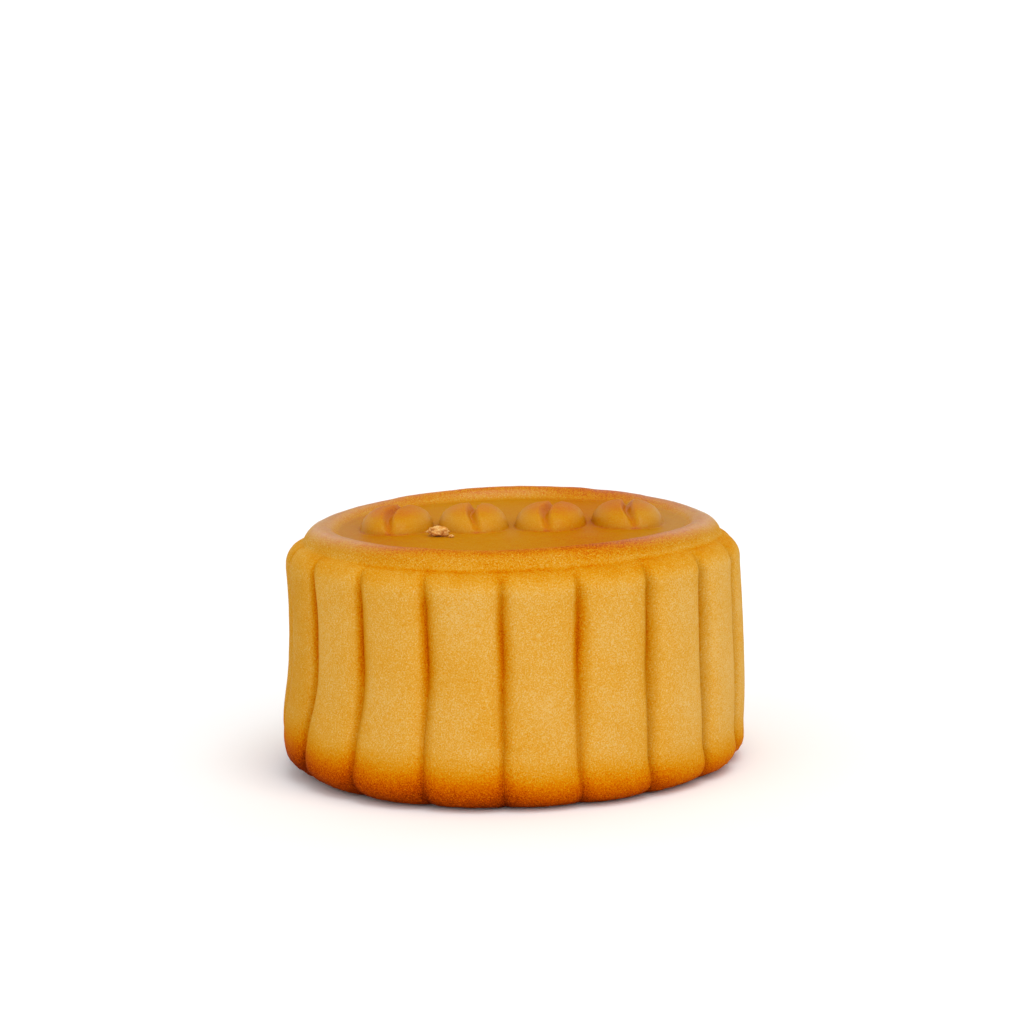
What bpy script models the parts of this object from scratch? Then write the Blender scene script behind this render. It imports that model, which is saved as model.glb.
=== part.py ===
"""Coffee mooncake: a pressed pastry drum with eighteen fluted lobes, a raised rim and a row of moulded beans.

The cake stands on its flat base. The origin is the middle of the base, +Z is up and the front faces -Y.
Sizes below are in millimetres and become metres when a mesh is made.
"""

import math

import bmesh
import bpy
import numpy as np

MM = 0.001

# Turned body: radii and heights
BASE_RADIUS = 26.2
HEEL_HEIGHT = 3.4
BELLY_HEIGHT = 7.0
BELLY_SPREAD = 7.5
BELLY_SWELL = 0.22
WALL_RADIUS = 30.5
WALL_ROWS = 8
ROUND_ROWS = 4
SHOULDER_HEIGHT = 31.15
SHOULDER_ROUND = 3.1
SHOULDER_START = 74.0
PANEL_RADIUS = 23.0
PANEL_HEIGHT = 32.2
PANEL_FILLET = (0.45, 0.14)
RIM_CREST_RADIUS = 25.4
RIM_HEIGHT = 33.35
RIM_FOOT_RADIUS = 28.05
RIM_FOOT_HEIGHT = 31.3
RIM_FOOT_SLOPE = (-0.3, 0.6)

# Rounded back of the rim, as steps outwards and up from its crest
RIM_BACK = ((-1.35, -0.6), (-0.75, -0.17), (0.0, 0.0), (1.0, -0.2), (1.8, -0.75))

# Fluted wall, with angles in degrees from the front towards the right
LOBES = 18
PITCH = 360.0 / LOBES
FIRST_GROOVE = -3.8
STEPS_PER_LOBE = 8
STEP_CROWDING = 0.62
GROOVE_DEPTH = 0.9
GROOVE_SHARPNESS = 4.0
GROOVE_TOP = 31.4
GROOVE_FULL = 25.0
GROOVE_RUN_OUT = 2.6
GROOVE_NARROWING = 2.0
WIDEST_HEIGHT = 20.0
WIDEST_SPREAD = 8.0
GROOVE_NUDGE = 0.000001
HEEL_GROOVE_SHARE = 0.75
HEEL_SHARE_FULL = 14.0
LOBE_ROUNDNESS = 0.45
LOBE_VARIATION = 0.12
LOBE_VARIATION_TURN = 2.4
CROWDED_FROM = 21.0
CROWDED_FULL = 25.5

# Unevenness of a cake pressed and baked by hand
LEAN = 1.35
TOP_SHIFT = -0.27
SHIFT_FROM = 28.0
SHIFT_FULL = 31.3
FOOT_SHIFT = 0.35
FOOT_SHIFT_TOP = 6.0
LEFT_FLARE = 0.95
FLARE_HEIGHT = 6.0
FLARE_SPREAD = 6.0
FLARE_FROM = 3.0
LEFT_SHOULDER = 0.33
RIGHT_SHOULDER = -0.15
SHOULDER_BULGE_HEIGHT = 28.0
SHOULDER_BULGE_SPREAD = 3.5
RIGHT_BARREL = 0.45
BARREL_HEIGHT = 13.5
BARREL_SPREAD = 9.0
FOOT_SWAY = 6.0
SWAY_LOW = 2.0
SWAY_HIGH = 17.0
FRONT_GATHER = 2.3
GATHER_LOW = 0.5
GATHER_HIGH = 6.5
TOP_TILT = -0.35
RIM_SAG = 0.245
SAGS = 2
SAG_START = -18.4
RIM_WAVE = 0.2
WAVES = 3
WAVE_START = -77.5
UNEVEN_FROM = 20.0

# Moulded beans across the panel
BEANS = 4
BEAN_PITCH = 10.35
BEAN_WIDTH = 9.7
BEAN_LENGTH = 13.6
BEAN_TOP = 35.2
BEAN_SINK = 0.7
BEAN_FULLNESS = 2.6
BEAN_END_FULLNESS = 2.3
SIDE_CROWDING = 0.4
BEAN_ROW_DEPTH = 1.0
BEAN_TURNS = (-7.0, 5.0, -4.0, 8.0)
BEAN_SCALES = (1.0, 0.97, 1.0, 0.98)
BEAN_SIDES = 20
BEAN_RINGS = 12
CREASE_DEPTH = 1.0
CREASE_BEND = 0.55

CRUST_COLOUR = (0.79, 0.40, 0.075, 1.0)
CRUST_ROUGHNESS = 0.55
SMOOTH_ANGLE = 50.0


def clear_scene():
    for old in list(bpy.data.objects):
        bpy.data.objects.remove(old, do_unlink=True)


def new_collection(name):
    group = bpy.data.collections.new(name)
    bpy.context.scene.collection.children.link(group)
    return group


def crust_material():
    material = bpy.data.materials.new("baked_crust")
    material.use_nodes = True
    shader = material.node_tree.nodes["Principled BSDF"]
    shader.inputs["Base Color"].default_value = CRUST_COLOUR
    shader.inputs["Roughness"].default_value = CRUST_ROUGHNESS
    shader.inputs["Metallic"].default_value = 0.0
    return material


def wall_radius(height):
    """Radius of the plain wall, which swells gently low down."""
    swell = math.exp(-(((height - BELLY_HEIGHT) / BELLY_SPREAD) ** 2))
    return WALL_RADIUS + BELLY_SWELL * swell


def arc(centre, radii, first, last, count):
    """Points on an elliptic arc between two angles in degrees, both ends included."""
    points = []
    for i in range(count):
        turn = math.radians(first + (last - first) * i / (count - 1))
        points.append((centre[0] + radii[0] * math.cos(turn), centre[1] + radii[1] * math.sin(turn)))
    return points


def body_profile():
    """Half section from the panel's edge over the rim and down the wall to the base's edge."""
    rim = [
        (PANEL_RADIUS, PANEL_HEIGHT),
        (PANEL_RADIUS + PANEL_FILLET[0], PANEL_HEIGHT + PANEL_FILLET[1]),
        *((RIM_CREST_RADIUS + out, RIM_HEIGHT + up) for out, up in RIM_BACK),
        (RIM_FOOT_RADIUS + RIM_FOOT_SLOPE[0], RIM_FOOT_HEIGHT + RIM_FOOT_SLOPE[1]),
        (RIM_FOOT_RADIUS, RIM_FOOT_HEIGHT),
    ]
    shoulder_base = SHOULDER_HEIGHT - SHOULDER_ROUND
    shoulder_edge = wall_radius(shoulder_base)
    shoulder_middle = (shoulder_edge - SHOULDER_ROUND, shoulder_base)
    shoulder = arc(shoulder_middle, (SHOULDER_ROUND, SHOULDER_ROUND), SHOULDER_START, 0.0, ROUND_ROWS + 1)
    heel_width = wall_radius(HEEL_HEIGHT) - BASE_RADIUS
    heel = arc((BASE_RADIUS, HEEL_HEIGHT), (heel_width, HEEL_HEIGHT), 0.0, -90.0, ROUND_ROWS + 1)
    wall = []
    for i in range(1, WALL_ROWS):
        height = shoulder_base + (HEEL_HEIGHT - shoulder_base) * i / WALL_ROWS
        wall.append((wall_radius(height), height))
    return rim + shoulder + wall + heel


def smooth_step(low, high, value):
    """0 below low, 1 above high, with a soft change between them."""
    share = np.clip((value - low) / (high - low), 0.0, 1.0)
    return share * share * (3.0 - 2.0 * share)


def settled(x, y, height):
    """Place of a point once top and foot have shifted, the top has tipped and the whole cake leans."""
    shift = TOP_SHIFT * smooth_step(SHIFT_FROM, SHIFT_FULL, height)
    shift = shift + FOOT_SHIFT * (1.0 - smooth_step(0.0, FOOT_SHIFT_TOP, height))
    height = height + x * math.tan(math.radians(TOP_TILT)) * smooth_step(UNEVEN_FROM, SHOULDER_HEIGHT, height)
    return x + shift + height * math.tan(math.radians(LEAN)), y, height


def fluted(angle, radius, height):
    """Polar places of the turned body's points after fluting: angle in degrees, radius and height."""
    on_top = smooth_step(UNEVEN_FROM, SHOULDER_HEIGHT, height)
    on_rim = smooth_step(PANEL_RADIUS, RIM_CREST_RADIUS, radius) * on_top
    on_wall = 1.0 - np.clip((height - GROOVE_FULL) / (GROOVE_TOP - GROOVE_FULL), 0.0, 1.0) ** GROOVE_RUN_OUT
    leftness = np.clip(-np.sin(np.radians(angle)), 0.0, 1.0)
    rightness = np.clip(np.sin(np.radians(angle)), 0.0, 1.0)

    # Points crowd towards the grooves, which gather at the front and bend outwards at the left foot
    lobe = np.floor((angle - FIRST_GROOVE) / PITCH)
    share = (angle - FIRST_GROOVE) / PITCH - lobe
    crowded = share - STEP_CROWDING * np.sin(2.0 * np.pi * share) / (2.0 * np.pi)
    sway = FOOT_SWAY * leftness**2 * (1.0 - smooth_step(SWAY_LOW, SWAY_HIGH, height))
    gather = FRONT_GATHER * np.sin(np.radians(angle)) * smooth_step(GATHER_LOW, GATHER_HIGH, height)
    moved = PITCH * (crowded - share) - sway - gather
    new_angle = angle + moved * smooth_step(CROWDED_FROM, CROWDED_FULL, radius)

    # Each lobe is a soft pillow between two creases, which are widest a little above the middle of the wall
    across = np.abs(2.0 * crowded - 1.0)
    heel_share = HEEL_GROOVE_SHARE + (1.0 - HEEL_GROOVE_SHARE) * smooth_step(0.0, HEEL_SHARE_FULL, height)
    narrow = 1.0 - np.exp(-(((height - WIDEST_HEIGHT) / WIDEST_SPREAD) ** 2))
    press = across ** (GROOVE_SHARPNESS + GROOVE_NARROWING * narrow)
    crease = (GROOVE_DEPTH * press + LOBE_ROUNDNESS * across**2) * on_wall * heel_share
    kind = np.mod(lobe, LOBES)
    swell = LOBE_VARIATION * np.sin(kind * LOBE_VARIATION_TURN) * (1.0 - across**2) * on_wall
    flare = LEFT_FLARE * leftness**2 * np.exp(-(((height - FLARE_HEIGHT) / FLARE_SPREAD) ** 2))
    flare = flare * smooth_step(0.0, FLARE_FROM, height)
    past_bulge = (height - SHOULDER_BULGE_HEIGHT) / SHOULDER_BULGE_SPREAD
    shoulder = LEFT_SHOULDER * leftness**2 + RIGHT_SHOULDER * rightness**2
    bulge = shoulder * np.exp(-(past_bulge**2)) * (radius > RIM_FOOT_RADIUS)
    barrel = RIGHT_BARREL * rightness**2 * np.exp(-(((height - BARREL_HEIGHT) / BARREL_SPREAD) ** 2))
    new_radius = radius + swell - crease + flare + bulge + barrel

    # The rim sags at both sides and waves a little
    sag = RIM_SAG * np.cos(np.radians(SAGS * angle + SAG_START))
    wave = RIM_WAVE * np.sin(np.radians(WAVES * angle + WAVE_START))
    return new_angle, new_radius, height + (sag + wave) * on_rim


def turned_body(group):
    """The profile turned round the axis, its panel and base closed by flat faces, then fluted."""
    points = body_profile()
    outline = bpy.data.meshes.new("outline")
    edges = [(i, i + 1) for i in range(len(points) - 1)]
    outline.from_pydata([(r * MM, 0.0, z * MM) for r, z in points], edges, [])
    blank = bpy.data.objects.new("blank", outline)
    group.objects.link(blank)
    screw = blank.modifiers.new("Turn", "SCREW")
    screw.steps = LOBES * STEPS_PER_LOBE
    screw.render_steps = screw.steps
    screw.use_merge_vertices = True
    screw.merge_threshold = 0.00001
    bpy.context.view_layer.update()
    mesh = bpy.data.meshes.new_from_object(blank.evaluated_get(bpy.context.evaluated_depsgraph_get()))
    bpy.data.objects.remove(blank, do_unlink=True)

    shape = bmesh.new()
    shape.from_mesh(mesh)
    bmesh.ops.holes_fill(shape, edges=shape.edges, sides=0)
    bmesh.ops.recalc_face_normals(shape, faces=shape.faces)
    shape.to_mesh(mesh)
    shape.free()

    places = np.empty(len(mesh.vertices) * 3)
    mesh.vertices.foreach_get("co", places)
    x, y, z = places.reshape(-1, 3).T / MM
    step = PITCH / STEPS_PER_LOBE
    start = FIRST_GROOVE % step
    angle = start + step * np.round((np.degrees(np.arctan2(x, -y)) - start) / step)
    angle, radius, height = fluted(angle + GROOVE_NUDGE, np.hypot(x, y), z)
    turn = np.radians(angle)
    places = settled(radius * np.sin(turn), -radius * np.cos(turn), height)
    mesh.vertices.foreach_set("co", (np.stack(places, axis=1) * MM).ravel())
    mesh.update()

    body = bpy.data.objects.new("mooncake", mesh)
    group.objects.link(body)
    return body


def bean(group, index):
    """One rounded bean, sunk a little into the panel, with the curved crease along its top."""
    shape = bmesh.new()
    bmesh.ops.create_uvsphere(shape, u_segments=BEAN_SIDES, v_segments=BEAN_RINGS, radius=1.0)
    scale = BEAN_SCALES[index]
    rise = BEAN_TOP - PANEL_HEIGHT + BEAN_SINK
    for vert in shape.verts:
        along = vert.co.z
        turn = math.atan2(vert.co.x, vert.co.y)
        girth = max(0.0, 1.0 - abs(along) ** BEAN_END_FULLNESS) ** (1.0 / BEAN_END_FULLNESS)
        # Sides crowd towards the top, where the crease runs
        crowded = turn - SIDE_CROWDING * math.sin(turn)
        square = abs(math.cos(crowded)) ** BEAN_FULLNESS + abs(math.sin(crowded)) ** BEAN_FULLNESS
        reach = girth / square ** (1.0 / BEAN_FULLNESS)
        sideways = reach * math.sin(crowded) * BEAN_WIDTH / 2.0
        up = reach * math.cos(crowded) * rise
        if math.cos(turn) > 0.0:
            sideways += CREASE_BEND * math.sin(math.pi * along) * math.cos(turn) ** 2
        if abs(turn) < math.pi / BEAN_SIDES:
            up -= CREASE_DEPTH * girth
        vert.co = (sideways * scale, along * BEAN_LENGTH / 2.0 * scale, up)
    bmesh.ops.recalc_face_normals(shape, faces=shape.faces)
    mesh = bpy.data.meshes.new("bean")
    shape.to_mesh(mesh)
    shape.free()
    turn = math.radians(BEAN_TURNS[index])
    offset = (index - (BEANS - 1) / 2.0) * BEAN_PITCH
    for vert in mesh.vertices:
        x, y, z = vert.co
        across = offset + x * math.cos(turn) - y * math.sin(turn)
        along = BEAN_ROW_DEPTH + x * math.sin(turn) + y * math.cos(turn)
        vert.co = [place * MM for place in settled(across, along, PANEL_HEIGHT - BEAN_SINK + z)]
    topping = bpy.data.objects.new(f"bean_{index}", mesh)
    group.objects.link(topping)
    return topping


def join_beans(body, beans):
    """Makes the body and its beans one closed solid."""
    union = body.modifiers.new("Join", "BOOLEAN")
    union.operation = "UNION"
    union.operand_type = "COLLECTION"
    union.collection = beans
    bpy.context.view_layer.update()
    joined = bpy.data.meshes.new_from_object(body.evaluated_get(bpy.context.evaluated_depsgraph_get()))
    body.modifiers.remove(union)
    body.data = joined
    joined.name = "mooncake"
    for topping in list(beans.objects):
        bpy.data.objects.remove(topping, do_unlink=True)


def main():
    clear_scene()
    cake = new_collection("coffee_mooncake")
    beans = new_collection("beans")
    body = turned_body(cake)
    for index in range(BEANS):
        bean(beans, index)
    join_beans(body, beans)
    body.data.materials.clear()
    body.data.materials.append(crust_material())
    body.data.shade_smooth()
    body.data.set_sharp_from_angle(angle=math.radians(SMOOTH_ANGLE))


main()
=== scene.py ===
"""Dresses the coffee mooncake: baked pastry with fluted sides, a raised rim and moulded beans.

Sizes are in millimetres and become metres when a mesh is made, as MM says. The floor's width and the
camera's distances are in metres.
"""

import math
from types import SimpleNamespace

import bmesh
import bpy
import numpy as np
from mathutils import Matrix, Vector
from mathutils.geometry import delaunay_2d_cdt
from mathutils.noise import noise as noise_at


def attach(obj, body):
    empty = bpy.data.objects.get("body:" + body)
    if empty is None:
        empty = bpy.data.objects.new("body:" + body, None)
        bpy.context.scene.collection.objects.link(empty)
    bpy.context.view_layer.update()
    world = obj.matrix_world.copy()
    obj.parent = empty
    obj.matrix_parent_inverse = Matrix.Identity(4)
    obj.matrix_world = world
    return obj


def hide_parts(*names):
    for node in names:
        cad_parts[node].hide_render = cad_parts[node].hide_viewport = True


MM = 0.001

# Turned body, the same sizes as the solid's
BASE_RADIUS = 26.2
HEEL_HEIGHT = 3.4
BELLY_HEIGHT = 7.0
BELLY_SPREAD = 7.5
BELLY_SWELL = 0.22
WALL_RADIUS = 30.5
SHOULDER_HEIGHT = 31.15
SHOULDER_ROUND = 3.1
SHOULDER_START = 74.0
PANEL_RADIUS = 23.0
PANEL_HEIGHT = 32.2
PANEL_FILLET = (0.45, 0.14)
RIM_CREST_RADIUS = 25.4
RIM_HEIGHT = 33.35
RIM_FOOT_RADIUS = 28.05
RIM_FOOT_HEIGHT = 31.3
RIM_FOOT_SLOPE = (-0.3, 0.6)

# Rounded back of the rim, as steps outwards and up from its crest
RIM_BACK = ((-1.35, -0.6), (-0.75, -0.17), (0.0, 0.0), (1.0, -0.2), (1.8, -0.75))

# Fluted wall, with angles in degrees from the front towards the right, but for the variation's turn
# from lobe to lobe, which is in radians
LOBES = 18
FIRST_GROOVE = -3.8
GROOVE_DEPTH = 0.9
LOBE_ROUNDNESS = 0.45
LOBE_VARIATION_TURN = 2.4
GROOVE_TOP = 31.4
GROOVE_FULL = 25.0
GROOVE_RUN_OUT = 2.6
GROOVE_NARROWING = 2.0
WIDEST_HEIGHT = 20.0
WIDEST_SPREAD = 8.0
CROWDED_FROM = 21.0
CROWDED_FULL = 25.5

# Where the unevenness of a cake pressed and baked by hand begins and ends, and its angles in degrees
UNEVEN_FROM = 20.0
WALL_FROM = 20.0
SHIFT_FROM = 28.0
SHIFT_FULL = 31.3
FOOT_SHIFT_TOP = 6.0
FLARE_HEIGHT = 6.0
FLARE_SPREAD = 6.0
FLARE_FROM = 3.0
SHOULDER_BULGE_HEIGHT = 28.0
SHOULDER_BULGE_SPREAD = 3.5
SHOULDER_BULGE_EDGE = 0.6
BARREL_HEIGHT = 13.5
BARREL_SPREAD = 9.0
SWAY_LOW = 2.0
SWAY_HIGH = 17.0
GATHER_LOW = 0.5
GATHER_HIGH = 6.5
WAVER_FULL = 5.0
SAGS = 2.0
SAG_START = -18.4
WAVES = 3.0
WAVE_START = -77.5
LUMPS_FROM = 0.2
LUMPS_FULL = 4.0
CRUMBLE_HIGH = 3.2
CRUMBLE_FULL = 1.2
CRUMBLE_LOW = 0.5

# Fineness of the mesh: distances between points, and numbers of points on its curves
ROW_STEP = 0.38
RIM_STEP = 0.26
PANEL_STEP = 0.75
BASE_STEP = 1.2
EDGE_STEP = 0.35
FIRST_INSET = 0.3
INSET_GROWTH = 1.9
LAST_INSET_STEPS = 2.5
STEPS_PER_LOBE = 36
CURVE_STEPS = 24
SHOULDER_KNOTS = 6
WALL_KNOTS = 12
HEEL_KNOTS = 7
MERGE_WITHIN = 1e-7

# Moulded beans across the panel
BEANS = 4
BEAN_PITCH = 10.35
BEAN_WIDTH = 9.7
BEAN_LENGTH = 13.6
BEAN_TOP = 35.2
BEAN_SINK = 0.7
BEAN_FULLNESS = 2.6
BEAN_END_FULLNESS = 2.3
BEAN_ROW_DEPTH = 1.0
BEAN_TURNS = (-7.0, 5.0, -4.0, 8.0)
BEAN_SCALES = (1.0, 0.97, 1.0, 0.98)
BEAN_STEPS = 100
BEAN_LEVELS = (0.4, 0.7, 1.05, 1.4, 1.75, 2.05, 2.3, 2.5, 2.67, 2.8, 2.9)
CREASE_DEPTH = 1.1
CREASE_HALF_WIDTH = 0.95
CREASE_BEND = 0.55
CREASE_REACH = 0.9
CREASE_STEPS = 46
CREASE_OFFSETS = (-0.95, -0.7, -0.45, -0.25, -0.1, 0.0, 0.1, 0.25, 0.45, 0.7, 0.95)
FILLET_RISE = 0.18
FILLET_WIDTH = 0.3
FILLET_SHARES = (0.33, 0.66, 1.0)

# Loose crumbs on the panel: middle across and along, length, width, thickness, degrees of turn, seed
CRUMBS = (
    (-9.4, -6.3, 3.1, 1.5, 1.2, -24.0, 3.0),
    (-7.6, -7.3, 0.7, 0.5, 0.4, 40.0, 8.0),
    (-18.9, 6.2, 0.9, 0.7, 0.5, 15.0, 5.0),
)
CRUMB_ROUGHNESS = 0.42
CRUMB_SINK = 0.06

# Noise: features a millimetre, detail, roughness and the seed that sets each apart
WAVER_NOISE = (0.07, 1.0, 0.5, 6.3)
LUMP_NOISE = (0.11, 1.0, 0.4, 3.1)
DIMPLE_NOISE = (0.55, 2.0, 0.5, 8.4)
FLAKE_NOISE = (0.9, 2.0, 0.6, 2.2)
PATCH_NOISE = (0.16, 2.0, 0.5, 1.7)
MOTTLE_NOISE = (0.9, 2.0, 0.6, 5.2)
GRAIN_NOISE = (4.6, 1.0, 0.8, 9.6)
CRUMB_NOISE = (2.4, 3.0, 0.7, 4.4)
CRUMB_BUMP_NOISE = (6.0, 2.0, 0.7, 1.2)
FLOOR_NOISE = (0.003, 2.0, 0.5, 0.3)

# Dots and grains: how many a millimetre, then for dots their size and rarity
GRAINS = 6.4
SPECKLES = (1.9, 0.18, 0.55)
FRECKLES = (1.5, 0.2, 0.6)
PORES = (0.9, 0.22, 0.6)

# From pale dough to well browned crust, by how far it has baked
BAKE_COLOURS = (
    (0.00, (214, 178, 110)),
    (0.25, (209, 154, 56)),
    (0.45, (203, 135, 7)),
    (0.60, (199, 108, 0)),
    (0.78, (178, 73, 0)),
    (1.00, (108, 31, 0)),
)
CRUMB_COLOURS = ((0.36, (240, 197, 124)), (0.62, (208, 132, 36)))
FLOOR_GREYS = (0.95, 0.97)

# Bands over which a look of the crust comes on, from none of it to all of it: by height above the
# base, by distance from the middle, and by place from left to right or from front to back
UNDERSIDE_BAND = (0.12, 0.02)
FOOT_BAND = (8.2, -1.0)
SHOULDER_BAND = (28.2, 30.9)
TOP_BAND = (31.0, 31.5)
OPEN_WALL_BAND = (31.9, 27.0)
FURROW_BAND = (31.8, 28.0)
RIM_FOOT_BAND = (30.4, 31.0)
GLAZE_BAND = (31.8, 33.2)
PANEL_BAND = (PANEL_RADIUS + 0.9, PANEL_RADIUS)
RIM_BAND = (RIM_FOOT_RADIUS + 0.3, RIM_FOOT_RADIUS - 0.6)
CREST_OUTER_BAND = (27.7, 26.1)
CREST_INNER_BAND = (PANEL_RADIUS + 0.6, RIM_CREST_RADIUS)
BOTH_SIDES_BAND = (8.0, 23.0)
# The creases on the right, where shade is painted into the colour
FURROW_SHADE_BAND = (8.0, 22.0)
LEFT_END_BAND = (-24.5, -28.5)
FRONT_BAND = (-6.0, -12.0)

# Studio: each light's name, degrees from the front towards the right, elevation, width and strength
SUNS = (
    ("overhead", 30.0, 72.0, 36.0, 0.95),
    ("key", 30.0, 30.0, 60.0, 0.96),
    ("fill", -38.0, 20.0, 90.0, 0.88),
    ("back_right", 145.0, 28.0, 60.0, 0.36),
    ("back_left", 215.0, 28.0, 60.0, 0.36),
)
WORLD_STRENGTH = 0.5
FLOOR_WIDTH = 40.0

# Camera, as the photograph's geometry gives it: a pixel place in a frame of 1024 by 1024
FRAME_PIXELS = 1024
SENSOR = 36.0
FOCAL_PIXELS = 3600.0
CAMERA_DISTANCE = 0.4873
CAMERA_PITCH = 11.35
CAMERA_ROLL = -1.84
AIM_HEIGHT = 0.0155
AIM_PIXEL = (512.3, 648.3)


# Formulas in node trees


class Value:
    """A number in a node tree, so that a rule can be written as a formula."""

    def __init__(self, tree, socket):
        self.tree = tree
        self.socket = socket

    def math(self, operation, *others):
        node = self.tree.nodes.new("ShaderNodeMath")
        node.operation = operation
        for slot, term in zip(node.inputs, (self, *others)):
            plug(self.tree, slot, term)
        return Value(self.tree, node.outputs[0])

    def __add__(self, other):
        return self.math("ADD", other)

    def __sub__(self, other):
        return self.math("SUBTRACT", other)

    def __mul__(self, other):
        return self.math("MULTIPLY", other)

    def __truediv__(self, other):
        return self.math("DIVIDE", other)

    def __pow__(self, other):
        return self.math("POWER", other)

    def invert(self):
        """1 where this is 0, and 0 where it is 1."""
        return self * -1.0 + 1.0

    def step(self, low, high):
        """0 at low, 1 at high, and a soft change between them."""
        node = self.tree.nodes.new("ShaderNodeMapRange")
        node.interpolation_type = "SMOOTHSTEP"
        for name, term in (("Value", self), ("From Min", low), ("From Max", high)):
            plug(self.tree, node.inputs[name], term)
        return Value(self.tree, node.outputs[0])

    def hump(self, middle, spread):
        """A soft bump of height 1 round middle."""
        return (((self - middle) / spread) ** 2.0 * -1.0).math("EXPONENT")


def plug(tree, slot, term):
    """Links a value, or writes a plain number, into a socket."""
    if isinstance(term, Value):
        tree.links.new(term.socket, slot)
    else:
        slot.default_value = term


def vector_times(tree, socket, number):
    node = tree.nodes.new("ShaderNodeVectorMath")
    node.operation = "SCALE"
    tree.links.new(socket, node.inputs[0])
    plug(tree, node.inputs["Scale"], number)
    return node.outputs[0]


def coordinates(tree, place):
    """A place's x, y and z, each as a value."""
    node = tree.nodes.new("ShaderNodeSeparateXYZ")
    tree.links.new(place, node.inputs[0])
    return [Value(tree, socket) for socket in node.outputs]


def noise(tree, place, scale, detail, roughness, seed):
    """Soft noise from 0 to 1 at a place in millimetres; scale is in features a millimetre."""
    node = tree.nodes.new("ShaderNodeTexNoise")
    node.noise_dimensions = "4D"
    tree.links.new(place, node.inputs["Vector"])
    node.inputs["W"].default_value = seed
    node.inputs["Scale"].default_value = scale
    node.inputs["Detail"].default_value = detail
    node.inputs["Roughness"].default_value = roughness
    return Value(tree, node.outputs[0])


def narrowing(height):
    """0 at the height where the grooves are widest, and 1 well above and below it."""
    return height.hump(WIDEST_HEIGHT, WIDEST_SPREAD).invert()


# Shapes


def wall_radius(height):
    return WALL_RADIUS + BELLY_SWELL * math.exp(-(((height - BELLY_HEIGHT) / BELLY_SPREAD) ** 2))


def smooth_line(knots, spacing):
    """Points along a smooth curve through the knots, evenly spaced, both ends included."""
    knots = np.array(knots)
    ends = np.vstack([2 * knots[0] - knots[1], knots, 2 * knots[-1] - knots[-2]])
    t = np.linspace(0.0, 1.0, CURVE_STEPS, endpoint=False)[:, None]
    runs = []
    for a, b, c, d in zip(ends, ends[1:], ends[2:], ends[3:]):
        bend = 2 * a - 5 * b + 4 * c - d
        twist = 3 * b - a - 3 * c + d
        runs.append(0.5 * (2 * b + (c - a) * t + bend * t**2 + twist * t**3))
    curve = np.vstack([*runs, knots[-1]])
    along = np.concatenate([[0.0], np.cumsum(np.hypot(*np.diff(curve, axis=0).T))])
    even = np.linspace(0.0, along[-1], round(along[-1] / spacing) + 1)
    return np.stack([np.interp(even, along, curve[:, i]) for i in range(2)], axis=1)


def body_profile():
    """Half section from the panel's edge over the rim and down the wall to the base's edge."""
    rim = [
        (PANEL_RADIUS, PANEL_HEIGHT),
        (PANEL_RADIUS + PANEL_FILLET[0], PANEL_HEIGHT + PANEL_FILLET[1]),
        *((RIM_CREST_RADIUS + out, RIM_HEIGHT + up) for out, up in RIM_BACK),
        (RIM_FOOT_RADIUS + RIM_FOOT_SLOPE[0], RIM_FOOT_HEIGHT + RIM_FOOT_SLOPE[1]),
        (RIM_FOOT_RADIUS, RIM_FOOT_HEIGHT),
    ]
    start = SHOULDER_HEIGHT - SHOULDER_ROUND
    middle = wall_radius(start) - SHOULDER_ROUND
    wall = []
    for turn in np.radians(np.linspace(SHOULDER_START, 0.0, SHOULDER_KNOTS)):
        wall.append((middle + SHOULDER_ROUND * math.cos(turn), start + SHOULDER_ROUND * math.sin(turn)))
    for height in np.linspace(start, HEEL_HEIGHT, WALL_KNOTS)[1:-1]:
        wall.append((wall_radius(height), height))
    heel_width = wall_radius(HEEL_HEIGHT) - BASE_RADIUS
    for turn in np.radians(np.linspace(0.0, -90.0, HEEL_KNOTS)):
        height = HEEL_HEIGHT + HEEL_HEIGHT * math.sin(turn)
        wall.append((BASE_RADIUS + heel_width * math.cos(turn), height))
    return np.vstack([smooth_line(rim, RIM_STEP), smooth_line(wall, ROW_STEP)])


def polar(radius, degrees):
    turn = np.radians(degrees)
    return np.stack([radius * np.sin(turn), -radius * np.cos(turn)], axis=-1)


def hex_grid(reach, spacing):
    """Points of a triangular grid that lie inside a circle."""
    rows = np.arange(-reach, reach, spacing * math.sqrt(0.75))
    columns = np.arange(-reach, reach, spacing)
    x, y = np.meshgrid(columns, rows)
    x = x + spacing / 2 * (np.arange(len(rows)) % 2)[:, None]
    points = np.stack([x.ravel(), y.ravel()], axis=1)
    return points[np.hypot(*points.T) < reach]


def disc_points(radius, spacing):
    """Points inside a circle: rings by its edge that grow coarser inwards, and a grid in the middle."""
    inset = FIRST_INSET
    rings = []
    while inset < LAST_INSET_STEPS * spacing:
        count = round(2 * math.pi * radius / min(spacing, EDGE_STEP + inset * 0.5))
        rings.append(polar(radius - inset, np.arange(count) * 360.0 / count))
        inset *= INSET_GROWTH
    return np.vstack([*rings, hex_grid(radius - inset, spacing)])


def bean_girth(v):
    return np.clip(1.0 - np.abs(v) ** BEAN_END_FULLNESS, 0.0, 1.0) ** (1.0 / BEAN_END_FULLNESS)


def bean_height(u, v):
    """Height of a bean above its middle, as a share of its rise, at places across and along it.

    The places run from -1 to 1 over the bean.
    """
    left = np.clip(bean_girth(v) ** BEAN_FULLNESS - np.abs(u) ** BEAN_FULLNESS, 0.0, 1.0)
    return left ** (1.0 / BEAN_FULLNESS)


def bean_place(u, v):
    return u * BEAN_WIDTH / 2, v * BEAN_LENGTH / 2


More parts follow.
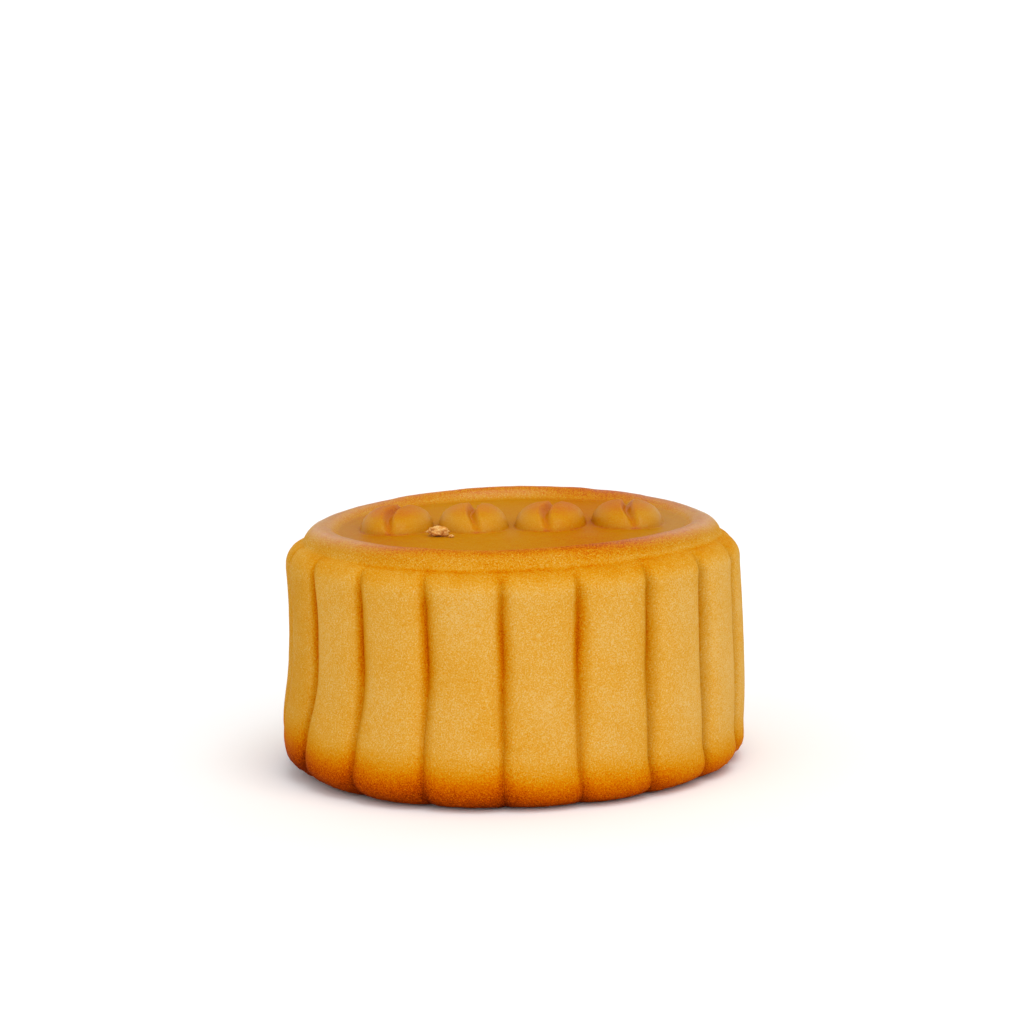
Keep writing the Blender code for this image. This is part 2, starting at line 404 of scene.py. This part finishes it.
def bean_outline(level):
    """Places across and along a bean where it stands at a level, found by halving."""
    turn = np.linspace(0.0, 2 * np.pi, BEAN_STEPS, endpoint=False)
    low, high = np.zeros_like(turn), np.ones_like(turn) * 1.5
    for _ in range(30):
        reach = (low + high) / 2
        above = bean_height(reach * np.cos(turn), reach * np.sin(turn)) > level
        low = np.where(above, reach, low)
        high = np.where(above, high, reach)
    return low * np.cos(turn), low * np.sin(turn)


def crease_weight(u, v):
    """1 along the bean's curved crease and 0 away from it."""
    off = np.abs(u * BEAN_WIDTH / 2 - CREASE_BEND * np.sin(np.pi * v)) / CREASE_HALF_WIDTH
    return 0.5 + 0.5 * np.cos(np.pi * np.clip(off, 0.0, 1.0))


def bean_points():
    """Points of one bean in its own frame, as rows of x, y, height above the panel and crease weight."""
    rise = BEAN_TOP - PANEL_HEIGHT + BEAN_SINK
    rows = []
    for up in (FILLET_RISE, *BEAN_LEVELS):
        u, v = bean_outline((up + BEAN_SINK) / rise)
        crease = crease_weight(u, v)
        keep = (crease <= 0.0) | (np.abs(v) > CREASE_REACH)
        height = up - CREASE_DEPTH * crease * bean_girth(v) * min(1.0, up)
        rows.append(np.stack([*bean_place(u, v), height, crease], axis=1)[keep])
    foot = np.stack(bean_place(*bean_outline((FILLET_RISE + BEAN_SINK) / rise)), axis=1)
    out = foot / np.hypot(*foot.T)[:, None]
    for share in FILLET_SHARES:
        ring = foot + out * FILLET_WIDTH * share
        height = np.full(len(ring), FILLET_RISE * (1.0 - share) ** 2)
        rows.append(np.column_stack([ring, height, np.zeros(len(ring))]))
    for offset in CREASE_OFFSETS:
        v = np.linspace(-CREASE_REACH, CREASE_REACH, CREASE_STEPS)
        u = (CREASE_BEND * np.sin(np.pi * v) + offset) / (BEAN_WIDTH / 2)
        crease = crease_weight(u, v)
        height = bean_height(u, v) * rise - BEAN_SINK - CREASE_DEPTH * crease * bean_girth(v)
        rows.append(np.stack([*bean_place(u, v), height, crease], axis=1))
    return np.vstack(rows)


def panel_relief():
    """Every inner point of the panel, as rows of x, y, height above it and crease weight."""
    plain = disc_points(PANEL_RADIUS, PANEL_STEP)
    free = np.ones(len(plain), bool)
    margin = FILLET_WIDTH + PANEL_STEP / 2
    beans = []
    for index in range(BEANS):
        scale = BEAN_SCALES[index]
        turn = math.radians(BEAN_TURNS[index])
        spin = np.array([[math.cos(turn), -math.sin(turn)], [math.sin(turn), math.cos(turn)]])
        middle = np.array([(index - (BEANS - 1) / 2) * BEAN_PITCH, BEAN_ROW_DEPTH])
        points = bean_points()
        points[:, :2] = points[:, :2] @ spin.T * scale + middle
        beans.append(points)
        local = (plain - middle) @ spin / scale
        u = local[:, 0] / (BEAN_WIDTH / 2 + margin)
        v = local[:, 1] / (BEAN_LENGTH / 2 + margin)
        free &= bean_height(u, v) <= 0.0
    plain = np.column_stack([plain[free], np.zeros((free.sum(), 2))])
    return np.vstack([plain, *beans])


def fill_disc(ring, inner):
    """Triangles over a ring of points and the points inside it, as indices into ring then inner."""
    places = [Vector(p) for p in np.vstack([ring, inner]).tolist()]
    border = [(i, (i + 1) % len(ring)) for i in range(len(ring))]
    _, _, triangles, sources, _, _ = delaunay_2d_cdt(places, border, [], 0, MERGE_WITHIN)
    return [[sources[i][0] for i in face] for face in triangles]


def turned_blank():
    """The plain cake before fluting, as one closed mesh: wall and rim, panel with beans, flat base."""
    profile = body_profile()
    steps = LOBES * STEPS_PER_LOBE
    angles = FIRST_GROOVE + np.arange(steps) * 360.0 / steps
    wall = np.vstack([np.column_stack([polar(r, angles), np.full(steps, z)]) for r, z in profile])
    faces = []
    for row in range(len(profile) - 1):
        here = row * steps
        for i in range(steps):
            after = (i + 1) % steps
            faces.append((here + i, here + steps + i, here + steps + after, here + after))

    relief = panel_relief()
    panel = np.column_stack([relief[:, :2], PANEL_HEIGHT + relief[:, 2]])
    under = disc_points(BASE_RADIUS, BASE_STEP)
    base = np.column_stack([under, np.zeros(len(under))])
    last_row = (len(profile) - 1) * steps
    for face in fill_disc(wall[:steps, :2], relief[:, :2]):
        faces.append([i if i < steps else len(wall) + i - steps for i in face])
    first_under = len(wall) + len(panel)
    for face in fill_disc(wall[last_row:, :2], under):
        faces.append([last_row + i if i < steps else first_under + i - steps for i in face[::-1]])

    points = np.vstack([wall, panel, base]) * MM
    mesh = bpy.data.meshes.new("blank")
    mesh.from_pydata(points.tolist(), [], faces)
    marks = np.zeros((len(points), 2))
    marks[len(wall) : first_under] = relief[:, 2:]
    for name, column in (("relief", marks[:, 0]), ("cleft", marks[:, 1])):
        mesh.attributes.new(name, "FLOAT", "POINT").data.foreach_set("value", column)
    mesh.shade_smooth()
    return mesh


# Geometry Nodes


FLUTE_SIZES = {
    "Lobes": LOBES,
    "First groove": FIRST_GROOVE,
    "Groove depth": GROOVE_DEPTH,
    "Lobe roundness": LOBE_ROUNDNESS,
    "Left sharpness": 3.4,
    "Right sharpness": 4.6,
    "Groove top": GROOVE_TOP,
    "Groove full": GROOVE_FULL,
    "Groove run-out": GROOVE_RUN_OUT,
    "Groove narrowing": GROOVE_NARROWING,
    "Heel share": 0.75,
    "Heel share full": 14.0,
    "Lobe variation": 0.12,
    "Step crowding": 0.62,
    "Left flare": 0.95,
    "Left shoulder": 0.33,
    "Right shoulder": -0.15,
    "Right barrel": 0.45,
    "Foot sway": 6.0,
    "Front gather": 2.3,
    "Waver": 2.0,
    "Top shift": -0.27,
    "Foot shift": 0.35,
    "Top tilt": -0.35,
    "Rim sag": 0.245,
    "Rim wave": 0.2,
    "Lean": 1.35,
    "Lumps": 0.16,
    "Dimples": 0.05,
    "Heel crumble": 0.24,
}


def new_tree(name, sizes):
    """A Geometry Nodes tree with a geometry in and out and one named number for each size."""
    tree = bpy.data.node_groups.new(name, "GeometryNodeTree")
    tree.interface.new_socket("Geometry", in_out="INPUT", socket_type="NodeSocketGeometry")
    tree.interface.new_socket("Geometry", in_out="OUTPUT", socket_type="NodeSocketGeometry")
    for size, number in sizes.items():
        socket = tree.interface.new_socket(size, in_out="INPUT", socket_type="NodeSocketFloat")
        socket.default_value = number
    entry = tree.nodes.new("NodeGroupInput")
    exit_ = tree.nodes.new("NodeGroupOutput")
    inputs = {size: Value(tree, entry.outputs[size]) for size in sizes}
    return tree, entry, exit_, inputs


def run_tree(obj, tree, sizes):
    """Applies a tree to the object, with its sizes set by their sockets' identifiers."""
    modifier = obj.modifiers.new(tree.name, "NODES")
    modifier.node_group = tree
    for item in tree.interface.items_tree:
        if item.in_out == "INPUT" and item.name in sizes:
            modifier[item.identifier] = sizes[item.name]
    bpy.context.view_layer.update()
    mesh = bpy.data.meshes.new_from_object(obj.evaluated_get(bpy.context.evaluated_depsgraph_get()))
    obj.modifiers.remove(modifier)
    obj.data = mesh
    mesh.name = obj.name


def store(tree, geometry, name, value):
    node = tree.nodes.new("GeometryNodeStoreNamedAttribute")
    node.data_type = "FLOAT"
    node.domain = "POINT"
    node.inputs["Name"].default_value = name
    tree.links.new(geometry, node.inputs["Geometry"])
    tree.links.new(value.socket, node.inputs["Value"])
    return node.outputs["Geometry"]


def flute_tree(material):
    """Presses lobes and creases into the turned wall, and makes the cake uneven as a hand-pressed one."""
    tree, entry, exit_, size = new_tree("fluted_cake", FLUTE_SIZES)
    position = tree.nodes.new("GeometryNodeInputPosition").outputs[0]
    place = vector_times(tree, position, 1.0 / MM)
    x, y, height = coordinates(tree, place)
    radius = (x * x + y * y).math("SQRT")
    angle = x.math("ARCTAN2", y * -1.0).math("DEGREES")
    turn = angle.math("RADIANS")
    leftness = (turn.math("SINE") * -1.0).math("MAXIMUM", 0.0)
    rightness = turn.math("SINE").math("MAXIMUM", 0.0)
    on_top = height.step(UNEVEN_FROM, SHOULDER_HEIGHT)
    on_side = radius.step(WALL_FROM, BASE_RADIUS)
    past = (height - size["Groove full"]) / (size["Groove top"] - size["Groove full"])
    run_out = past.math("MAXIMUM", 0.0).math("MINIMUM", 1.0) ** size["Groove run-out"]
    on_wall = run_out.invert() * on_side

    # Points crowd towards the grooves, which gather at the front and bend outwards at the left foot
    pitch = (size["Lobes"] ** -1.0) * 360.0
    places = (angle - size["First groove"]) / pitch
    lobe = places.math("FLOOR")
    share = places - lobe
    crowded = share - (share * math.tau).math("SINE") / math.tau * size["Step crowding"]
    sway = leftness**2.0 * size["Foot sway"] * height.step(SWAY_LOW, SWAY_HIGH).invert()
    gather = turn.math("SINE") * size["Front gather"] * height.step(GATHER_LOW, GATHER_HIGH)
    waver = noise(tree, place, *WAVER_NOISE) - 0.5
    waver = waver * size["Waver"] * height.step(0.0, WAVER_FULL)
    turned = (crowded - share) * pitch - sway - gather + waver
    new_angle = angle + turned * radius.step(CROWDED_FROM, CROWDED_FULL)

    across = (crowded * 2.0 - 1.0).math("ABSOLUTE")
    sharpness = crowded * (size["Right sharpness"] - size["Left sharpness"]) + size["Left sharpness"]
    sharpness = sharpness + narrowing(height) * size["Groove narrowing"]
    heel_share = height.step(0.0, size["Heel share full"]) * size["Heel share"].invert()
    heel_share = heel_share + size["Heel share"]
    press = across**sharpness * on_wall * size["Groove depth"]
    crease = (press + across**2.0 * on_wall * size["Lobe roundness"]) * heel_share
    kind = lobe.math("FLOORED_MODULO", size["Lobes"])
    swell = (kind * LOBE_VARIATION_TURN).math("SINE") * size["Lobe variation"]
    swell = swell * (across**2.0).invert() * on_wall
    flare = leftness**2.0 * size["Left flare"] * height.hump(FLARE_HEIGHT, FLARE_SPREAD)
    flare = flare * height.step(0.0, FLARE_FROM) * on_side
    shoulder = height.hump(SHOULDER_BULGE_HEIGHT, SHOULDER_BULGE_SPREAD)
    shoulder = shoulder * radius.step(RIM_FOOT_RADIUS, RIM_FOOT_RADIUS + SHOULDER_BULGE_EDGE)
    bulge = leftness**2.0 * size["Left shoulder"] + rightness**2.0 * size["Right shoulder"]
    barrel = rightness**2.0 * size["Right barrel"] * height.hump(BARREL_HEIGHT, BARREL_SPREAD)
    new_radius = radius + swell - crease + flare + bulge * shoulder + barrel * on_side

    # The top tips down to the right, and its rim sags at both sides and waves a little
    tilt = radius * turn.math("SINE") * size["Top tilt"].math("RADIANS").math("TANGENT")
    sag = (turn * SAGS + math.radians(SAG_START)).math("COSINE") * size["Rim sag"]
    wave = (turn * WAVES + math.radians(WAVE_START)).math("SINE") * size["Rim wave"]
    on_rim = radius.step(PANEL_RADIUS, RIM_CREST_RADIUS)
    new_height = height + (tilt + (sag + wave) * on_rim) * on_top

    new_turn = new_angle.math("RADIANS")
    joined = tree.nodes.new("ShaderNodeCombineXYZ")
    shift = size["Top shift"] * height.step(SHIFT_FROM, SHIFT_FULL)
    shift = shift + size["Foot shift"] * height.step(FOOT_SHIFT_TOP, 0.0)
    lean = new_height * size["Lean"].math("RADIANS").math("TANGENT") + shift
    tree.links.new((new_radius * new_turn.math("SINE") + lean).socket, joined.inputs["X"])
    tree.links.new((new_radius * new_turn.math("COSINE") * -1.0).socket, joined.inputs["Y"])
    tree.links.new(new_height.socket, joined.inputs["Z"])

    geometry = entry.outputs["Geometry"]
    marks = {
        "turned_radius": radius,
        "turned_height": height,
        "across": across * on_side,
        "flank": (crowded * math.tau).math("SINE"),
    }
    for name, mark in marks.items():
        geometry = store(tree, geometry, name, mark)
    bend = tree.nodes.new("GeometryNodeSetPosition")
    tree.links.new(geometry, bend.inputs["Geometry"])
    tree.links.new(vector_times(tree, joined.outputs[0], MM), bend.inputs["Position"])

    # Soft lumps, dimples and a crumbled heel along the surface, none on the base, which stays flat
    lumps = (noise(tree, place, *LUMP_NOISE) - 0.5) * size["Lumps"] * 2.0
    dimples = (noise(tree, place, *DIMPLE_NOISE) - 0.5) * size["Dimples"] * 2.0
    flakes = (noise(tree, place, *FLAKE_NOISE) - 0.5) * size["Heel crumble"] * 2.0
    flakes = flakes * height.step(CRUMBLE_HIGH, CRUMBLE_FULL) * height.step(0.0, CRUMBLE_LOW)
    raised = (lumps + dimples) * height.step(LUMPS_FROM, LUMPS_FULL) + flakes
    lump = tree.nodes.new("GeometryNodeSetPosition")
    tree.links.new(bend.outputs[0], lump.inputs["Geometry"])
    normal = tree.nodes.new("GeometryNodeInputNormal").outputs[0]
    tree.links.new(vector_times(tree, normal, raised * MM), lump.inputs["Offset"])

    realize = tree.nodes.new("GeometryNodeRealizeInstances")
    tree.links.new(lump.outputs[0], realize.inputs[0])
    finish = tree.nodes.new("GeometryNodeSetMaterial")
    finish.inputs["Material"].default_value = material
    tree.links.new(realize.outputs[0], finish.inputs["Geometry"])
    tree.links.new(finish.outputs[0], exit_.inputs[0])
    return tree


# Materials


def new_material(name):
    """A new material, its node tree, its shader and the shaded place in millimetres."""
    material = bpy.data.materials.new(name)
    material.use_nodes = True
    tree = material.node_tree
    where = tree.nodes.new("ShaderNodeTexCoord").outputs["Object"]
    return material, tree, tree.nodes["Principled BSDF"], vector_times(tree, where, 1.0 / MM)


def linear(red, green, blue):
    """A colour given as 0 to 255 on a screen, as the shader wants it."""
    share = [c / 255.0 for c in (red, green, blue)]
    return tuple(c / 12.92 if c <= 0.04045 else ((c + 0.055) / 1.055) ** 2.4 for c in share) + (1.0,)


def ramp(tree, value, stops):
    """The colour at a value, between stops that each give a place from 0 to 1 and a colour."""
    node = tree.nodes.new("ShaderNodeValToRGB")
    elements = node.color_ramp.elements
    for _ in stops[2:]:
        elements.new(0.5)
    for element, (place, colour) in zip(elements, stops):
        element.position = place
        element.color = colour
    tree.links.new(value.socket, node.inputs[0])
    return node.outputs[0]


def bump(tree, shader, height, depth):
    """Fine relief in the shading, depth millimetres for a height of 1."""
    node = tree.nodes.new("ShaderNodeBump")
    node.inputs["Strength"].default_value = 1.0
    node.inputs["Distance"].default_value = depth * MM
    tree.links.new(height.socket, node.inputs["Height"])
    tree.links.new(node.outputs[0], shader.inputs["Normal"])


def attribute(tree, name):
    node = tree.nodes.new("ShaderNodeAttribute")
    node.attribute_name = name
    return Value(tree, node.outputs["Fac"])


def cells(tree, place, scale):
    """Distance to the nearest of scattered points, in their pitch, and a random number for it."""
    node = tree.nodes.new("ShaderNodeTexVoronoi")
    tree.links.new(place, node.inputs["Vector"])
    node.inputs["Scale"].default_value = scale
    return Value(tree, node.outputs["Distance"]), Value(tree, node.outputs["Color"])


def sand(tree, place, scale):
    """Round grains side by side, from about -0.5 between them to 0.5 on them."""
    distance, _ = cells(tree, place, scale)
    return distance * -1.0 + 0.5


def dots(tree, place, scale, size, rarity):
    """1 in the middle of scattered dots and 0 between them; size is a share of their pitch."""
    distance, chance = cells(tree, place, scale)
    chosen = chance.step(rarity, rarity + 0.1)
    return distance.step(size, size * 0.3) * chosen


def crust_marks(tree, place):
    """Where each look of the crust lies, from 0 to 1, and its noise, as values by name."""
    x, y, _ = coordinates(tree, place)
    radius = attribute(tree, "turned_radius")
    height = attribute(tree, "turned_height")
    across = attribute(tree, "across")
    flank = attribute(tree, "flank")
    relief = attribute(tree, "relief")
    m = SimpleNamespace(x=x, height=height, across=across, cleft=attribute(tree, "cleft"))

    m.patches = noise(tree, place, *PATCH_NOISE) - 0.5
    m.mottle = noise(tree, place, *MOTTLE_NOISE) - 0.5
    m.grain = sand(tree, place, GRAINS) * 0.38 + (noise(tree, place, *GRAIN_NOISE) - 0.5) * 0.6
    m.speckles = dots(tree, place, *SPECKLES)
    m.freckles = dots(tree, place, *FRECKLES)
    m.pores = dots(tree, place, *PORES)

    m.sides = x.math("ABSOLUTE").step(*BOTH_SIDES_BAND)
    m.front = m.sides.invert() * y.step(*FRONT_BAND)
    m.under = height.step(*UNDERSIDE_BAND)
    on_top = height.step(*TOP_BAND)
    slant = x.step(22.0, -34.0) * -2.2 - x.step(-23.0, -31.0) * 0.7 + 0.7
    m.foot = (height + m.patches * 4.0 + m.mottle * 1.2 + slant).step(*FOOT_BAND) * m.under.invert()
    m.shoulder = height.step(*SHOULDER_BAND) * on_top.invert() * (m.patches * 1.4 + 0.95)
    m.shoulder = m.shoulder * (x.step(-14.0, -26.0) * -0.45 + 1.0)
    m.open_wall = height.step(*OPEN_WALL_BAND)
    # The far left lobe: somewhat browner, and darkened by painted shade where it turns away from the
    # light
    m.left_end = x.step(*LEFT_END_BAND) * m.open_wall
    m.scorched = across**14.0 * height.hump(21.5, 6.0) * m.open_wall
    edge = flank * -0.14 + narrowing(height) * 0.12 + 0.68
    furrow = across.step(edge, 0.97) * (m.foot * -0.7 + 1.0) * height.step(*FURROW_BAND)
    # Painted shade: the creases on the right are darker and less browned, standing in for their own
    # shadow
    m.dusty = furrow * x.step(*FURROW_SHADE_BAND)
    m.furrow = furrow - m.dusty * 0.7

    m.on_panel = radius.step(*PANEL_BAND) * on_top
    m.rim = radius.step(*RIM_BAND) * on_top
    m.crest = radius.step(*CREST_OUTER_BAND) * radius.step(*CREST_INNER_BAND) * on_top
    m.rim_edge = radius.hump(PANEL_RADIUS + 1.0, 0.8) * on_top
    m.rim_foot = radius.hump(RIM_FOOT_RADIUS + 0.1, 0.6) * height.step(*RIM_FOOT_BAND)
    m.rim_foot = m.rim_foot * (x.step(-16.0, -24.0) * -0.7 + 1.0)
    m.bean_side = relief.step(0.0, 0.8)
    m.bean_top = relief.step(1.6, 2.8)
    # Painted shade: a thin darker line round each bean's foot, where it meets the panel
    m.bean_foot = relief.hump(0.12, 0.12) * m.on_panel
    m.glazed = height.step(*GLAZE_BAND)
    return m


def browning(m):
    """How far each place has baked, as a place along BAKE_COLOURS. The darker line round each bean's foot
    is painted shade, and the crest's browning is partly painted shade.
    """
    rim = m.x.hump(14.5, 9.0) * 0.13 + m.x.hump(-17.5, 5.5) * 0.06 - m.x.step(-18.0, -24.0) * 0.02 + 0.12
    return (
        m.across**3.0 * m.open_wall * 0.1
        + m.furrow * (m.height.hump(21.4, 9.0) * 0.117 + 0.083)
        + m.scorched * 0.2
        + m.foot * 0.69
        + m.shoulder * 0.22
        + m.rim * rim
        # The crest is browner, more so away from both ends: partly real browning, partly painted shade
        + m.crest * (m.sides * -0.1 + 0.23)
        + m.rim_edge * 0.03
        + m.rim_foot * (m.x.step(14.0, 2.0) * 0.08 + 0.03)
        + m.on_panel * (m.patches * -0.2 - m.x.step(8.0, 18.0) * 0.1 + 0.08)
        - m.bean_side * 0.06
        + m.bean_top * 0.14
        # The painted shade round each bean's foot
        + m.bean_foot * 0.07
        + m.cleft * 0.14
        + m.under * 0.5
        + m.left_end * 0.06
        - m.x.step(16.0, 26.0) * m.open_wall * 0.04
        + m.patches * 0.24
        + m.mottle * (m.bean_side * -0.06 + 0.11)
        + m.grain * (m.on_panel * -0.7 + m.rim * 0.3 + 0.85)
        - m.speckles * (m.foot * 0.25 + 0.12)
        + m.freckles * 0.1
        + 0.24
    )


def brightness(m):
    """Painted shade: how much of the baked colour shows, less in the furrows, on the panel, the rim and
    the left end.
    """
    return (
        m.furrow * -0.08
        - m.dusty * 0.18
        # Painted shade over the panel, lighter over the beans
        - m.on_panel * (m.bean_side * -0.09 + 0.12)
        - m.rim * (m.sides * 0.07 + 0.04)
        - m.left_end * 0.08
        + 1.0
    )


def sheen(m):
    """How much egg wash shines: on the top, less along its front, most at both ends of rim and panel."""
    glaze = m.glazed * (m.mottle * 0.6 + 0.42) * (m.front * (m.rim * 0.3 + 0.6)).invert()
    glaze = glaze + m.sides * m.crest * m.glazed * 0.4
    return glaze * (m.bean_side * -0.7 + 1.0) + m.sides**3.0 * m.on_panel * 0.24


def crust_material():
    """Baked pastry: golden walls, browner creases, rim, beans and foot, painted shade in the creases, on
    the panel, the rim and the left end, fine grain and a soft sheen.
    """
    material, tree, shader, place = new_material("baked_crust")
    m = crust_marks(tree, place)
    baked = ramp(tree, browning(m), [(share, linear(*colour)) for share, colour in BAKE_COLOURS])
    # The baked colour, darkened by the painted shade
    tree.links.new(vector_times(tree, baked, brightness(m)), shader.inputs["Base Color"])
    rough = m.grain * 0.4 + m.mottle * 0.2 - m.glazed * 0.1 + 0.62
    tree.links.new(rough.socket, shader.inputs["Roughness"])
    fine = m.grain * (m.on_panel * -0.7 + 1.1) + m.mottle * (m.on_panel * -0.2 + 0.4)
    fine = fine + m.speckles * 0.25 - m.pores * m.under * 1.6
    bump(tree, shader, fine, 0.04)
    tree.links.new(sheen(m).socket, shader.inputs["Coat Weight"])
    shader.inputs["Coat Roughness"].default_value = 0.28
    shader.inputs["Specular IOR Level"].default_value = 0.005
    shader.inputs["Specular Tint"].default_value = (1.0, 0.7, 0.25, 1.0)
    shader.inputs["Subsurface Weight"].default_value = 0.1
    shader.inputs["Subsurface Radius"].default_value = (1.0, 0.45, 0.15)
    shader.inputs["Subsurface Scale"].default_value = 1.0 * MM
    return material


def crumb_material():
    """Pale, dry crumb, browned in patches."""
    material, tree, shader, place = new_material("crumb_crust")
    stops = [(share, linear(*colour)) for share, colour in CRUMB_COLOURS]
    tree.links.new(ramp(tree, noise(tree, place, *CRUMB_NOISE), stops), shader.inputs["Base Color"])
    bump(tree, shader, noise(tree, place, *CRUMB_BUMP_NOISE), 0.05)
    shader.inputs["Roughness"].default_value = 0.85
    shader.inputs["Specular IOR Level"].default_value = 0.15
    return material


def floor_material():
    """Pale and even, with a cloud of hardly any contrast."""
    material, tree, shader, place = new_material("pale_floor")
    stops = [(share, (grey, grey, grey, 1.0)) for share, grey in enumerate(FLOOR_GREYS)]
    tree.links.new(ramp(tree, noise(tree, place, *FLOOR_NOISE), stops), shader.inputs["Base Color"])
    shader.inputs["Roughness"].default_value = 0.9
    shader.inputs["Specular IOR Level"].default_value = 0.1
    return material


# Pieces


def link(name, data):
    obj = bpy.data.objects.new(name, data)
    bpy.context.scene.collection.objects.link(obj)
    return obj


def cake(material):
    obj = link("baked_cake", turned_blank())
    run_tree(obj, flute_tree(material), FLUTE_SIZES)
    return obj


def turbulence(place):
    """Rough noise from about -1 to 1, made of three finer and finer layers."""
    return sum(noise_at(place * 2.0**layer) * 0.6**layer for layer in range(3))


def crumbs(material):
    """Loose crumbs of crust: one flake before the first two beans and two grains on the panel."""
    whole = bmesh.new()
    for x, y, length, width, thickness, turn, seed in CRUMBS:
        ball = bmesh.ops.create_icosphere(whole, subdivisions=4, radius=1.0)["verts"]
        spin = Matrix.Rotation(math.radians(turn), 3, "Z")
        for vertex in ball:
            way = vertex.co.normalized()
            swell = 1.0 + CRUMB_ROUGHNESS * turbulence(way * 2.0 + Vector((seed, 0.0, 0.0)))
            vertex.co = spin @ Vector((way.x * length, way.y * width, way.z * thickness)) * (0.5 * swell)
        lowest = min(vertex.co.z for vertex in ball)
        for vertex in ball:
            vertex.co = (vertex.co + Vector((x, y, PANEL_HEIGHT - CRUMB_SINK - lowest))) * MM
    mesh = bpy.data.meshes.new("loose_crumbs")
    whole.to_mesh(mesh)
    whole.free()
    mesh.shade_smooth()
    mesh.materials.append(material)
    return link("loose_crumbs", mesh)


def floor():
    bpy.ops.mesh.primitive_plane_add(size=FLOOR_WIDTH)
    obj = bpy.context.object
    obj.name = "floor"
    obj.data.materials.append(floor_material())
    return obj


# Studio


def soft_sun(name, side, elevation, spread, strength):
    """A wide, far studio light, which looks spread degrees wide."""
    data = bpy.data.lights.new(name, "SUN")
    data.angle = math.radians(spread)
    data.energy = strength
    side, elevation = math.radians(side), math.radians(elevation)
    level = math.cos(elevation)
    towards = Vector((level * math.sin(side), -level * math.cos(side), math.sin(elevation)))
    lamp = link(name, data)
    lamp.location = towards
    lamp.rotation_euler = (-towards).to_track_quat("-Z", "Y").to_euler()


def white_world(strength):
    world = bpy.data.worlds.new("white_studio")
    world.use_nodes = True
    back = world.node_tree.nodes["Background"]
    back.inputs["Color"].default_value = (1.0, 1.0, 1.0, 1.0)
    back.inputs["Strength"].default_value = strength
    bpy.context.scene.world = world


def camera():
    """Looks at the cake from the photograph's angle, tipped so that the cake lies low in the frame."""
    data = bpy.data.cameras.new("camera")
    data.sensor_width = SENSOR
    data.lens = FOCAL_PIXELS / FRAME_PIXELS * SENSOR
    obj = link("camera", data)
    pitch = math.radians(CAMERA_PITCH)
    aim = Vector((0.0, 0.0, AIM_HEIGHT))
    back = Vector((0.0, -math.cos(pitch), math.sin(pitch)))
    centre = FRAME_PIXELS / 2
    seen = Vector((AIM_PIXEL[0] - centre, centre - AIM_PIXEL[1], -FOCAL_PIXELS)).normalized()
    tip = seen.rotation_difference(Vector((0.0, 0.0, -1.0))).to_matrix().to_4x4()
    look = (-back).to_track_quat("-Z", "Y").to_matrix().to_4x4()
    roll = Matrix.Rotation(math.radians(CAMERA_ROLL), 4, "Z")
    obj.matrix_world = Matrix.Translation(aim + back * CAMERA_DISTANCE) @ look @ roll @ tip
    bpy.context.scene.camera = obj


# Scene


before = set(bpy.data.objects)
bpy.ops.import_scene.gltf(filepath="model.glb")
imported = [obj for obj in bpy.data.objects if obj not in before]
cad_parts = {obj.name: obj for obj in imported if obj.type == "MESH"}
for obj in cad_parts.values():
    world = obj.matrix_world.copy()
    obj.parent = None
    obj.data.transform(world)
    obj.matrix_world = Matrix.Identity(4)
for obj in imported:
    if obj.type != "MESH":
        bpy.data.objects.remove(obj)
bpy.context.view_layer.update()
body = cake(crust_material())
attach(body, "root")
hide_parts("mooncake")
loose = crumbs(crumb_material())
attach(loose, "root")
floor()
white_world(WORLD_STRENGTH)
for sun in SUNS:
    soft_sun(*sun)
camera()
bpy.context.scene.view_settings.view_transform = "Standard"
